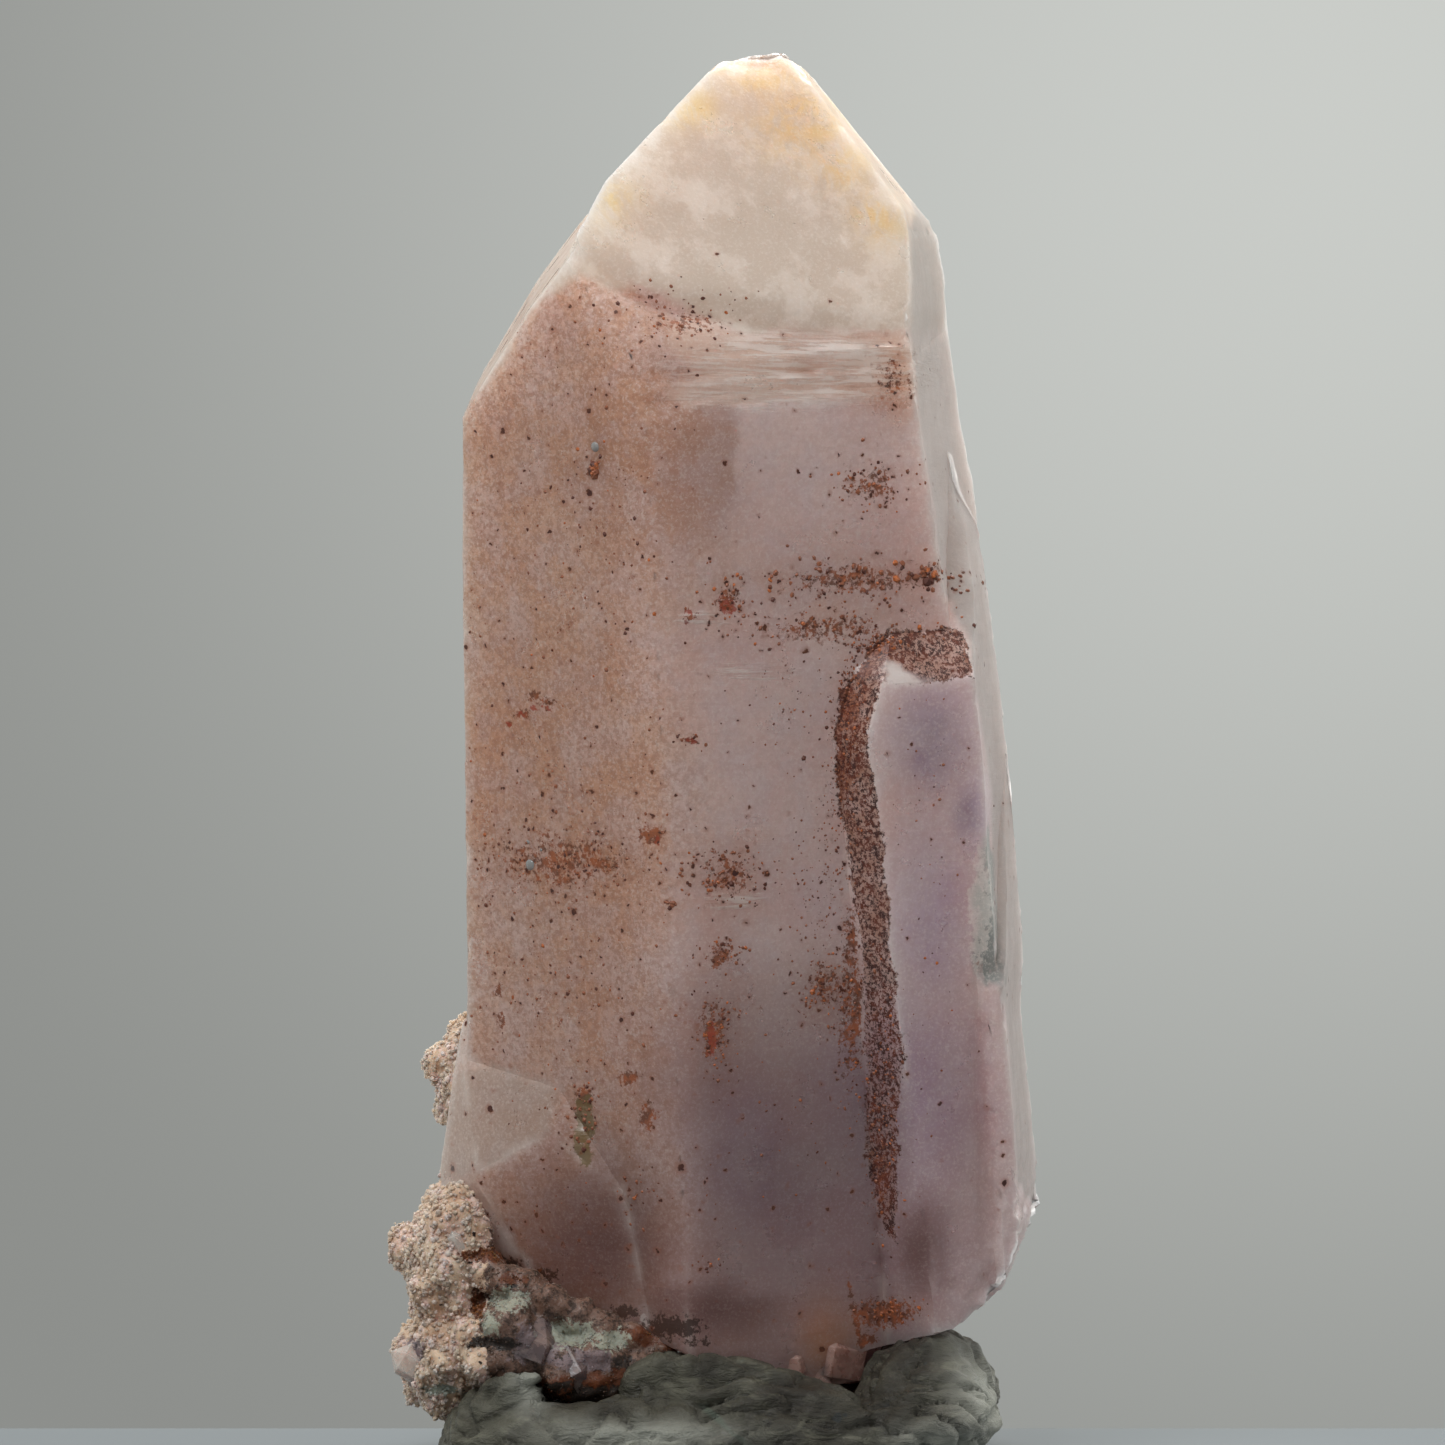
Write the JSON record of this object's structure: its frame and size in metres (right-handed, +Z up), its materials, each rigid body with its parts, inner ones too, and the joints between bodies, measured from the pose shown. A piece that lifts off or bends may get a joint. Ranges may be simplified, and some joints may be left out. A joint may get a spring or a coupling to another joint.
{
  "type": "enhydro skeletal amethyst point",
  "caption": "Leaning six-sided amethyst point with stepped skeletal growth, iron-stained inclusions, a piece of host rock at its foot and a grey putty base.",
  "frame": {"origin": "under the middle of the specimen's bounding box, on the surface it stands on", "axes": "+Z up, -Y towards the side shown in the picture, +X to that side's right; the point's long axis leans towards -Y"},
  "size_m": [0.0304, 0.031, 0.0655],
  "materials": {
    "amethyst": "cloudy translucent quartz, pinkish brown going to lilac, with rusty specks and a satin etched surface",
    "host_rock": "rough granular beige-brown rock with pale green crust and rust stains",
    "mounting_putty": "matte grey mounting putty with smooth folds and dark flecks"
  },
  "bodies": {
    "root": {"amethyst_point": "amethyst", "matrix": "host_rock", "putty": "mounting_putty"}
  },
  "joints": []
}
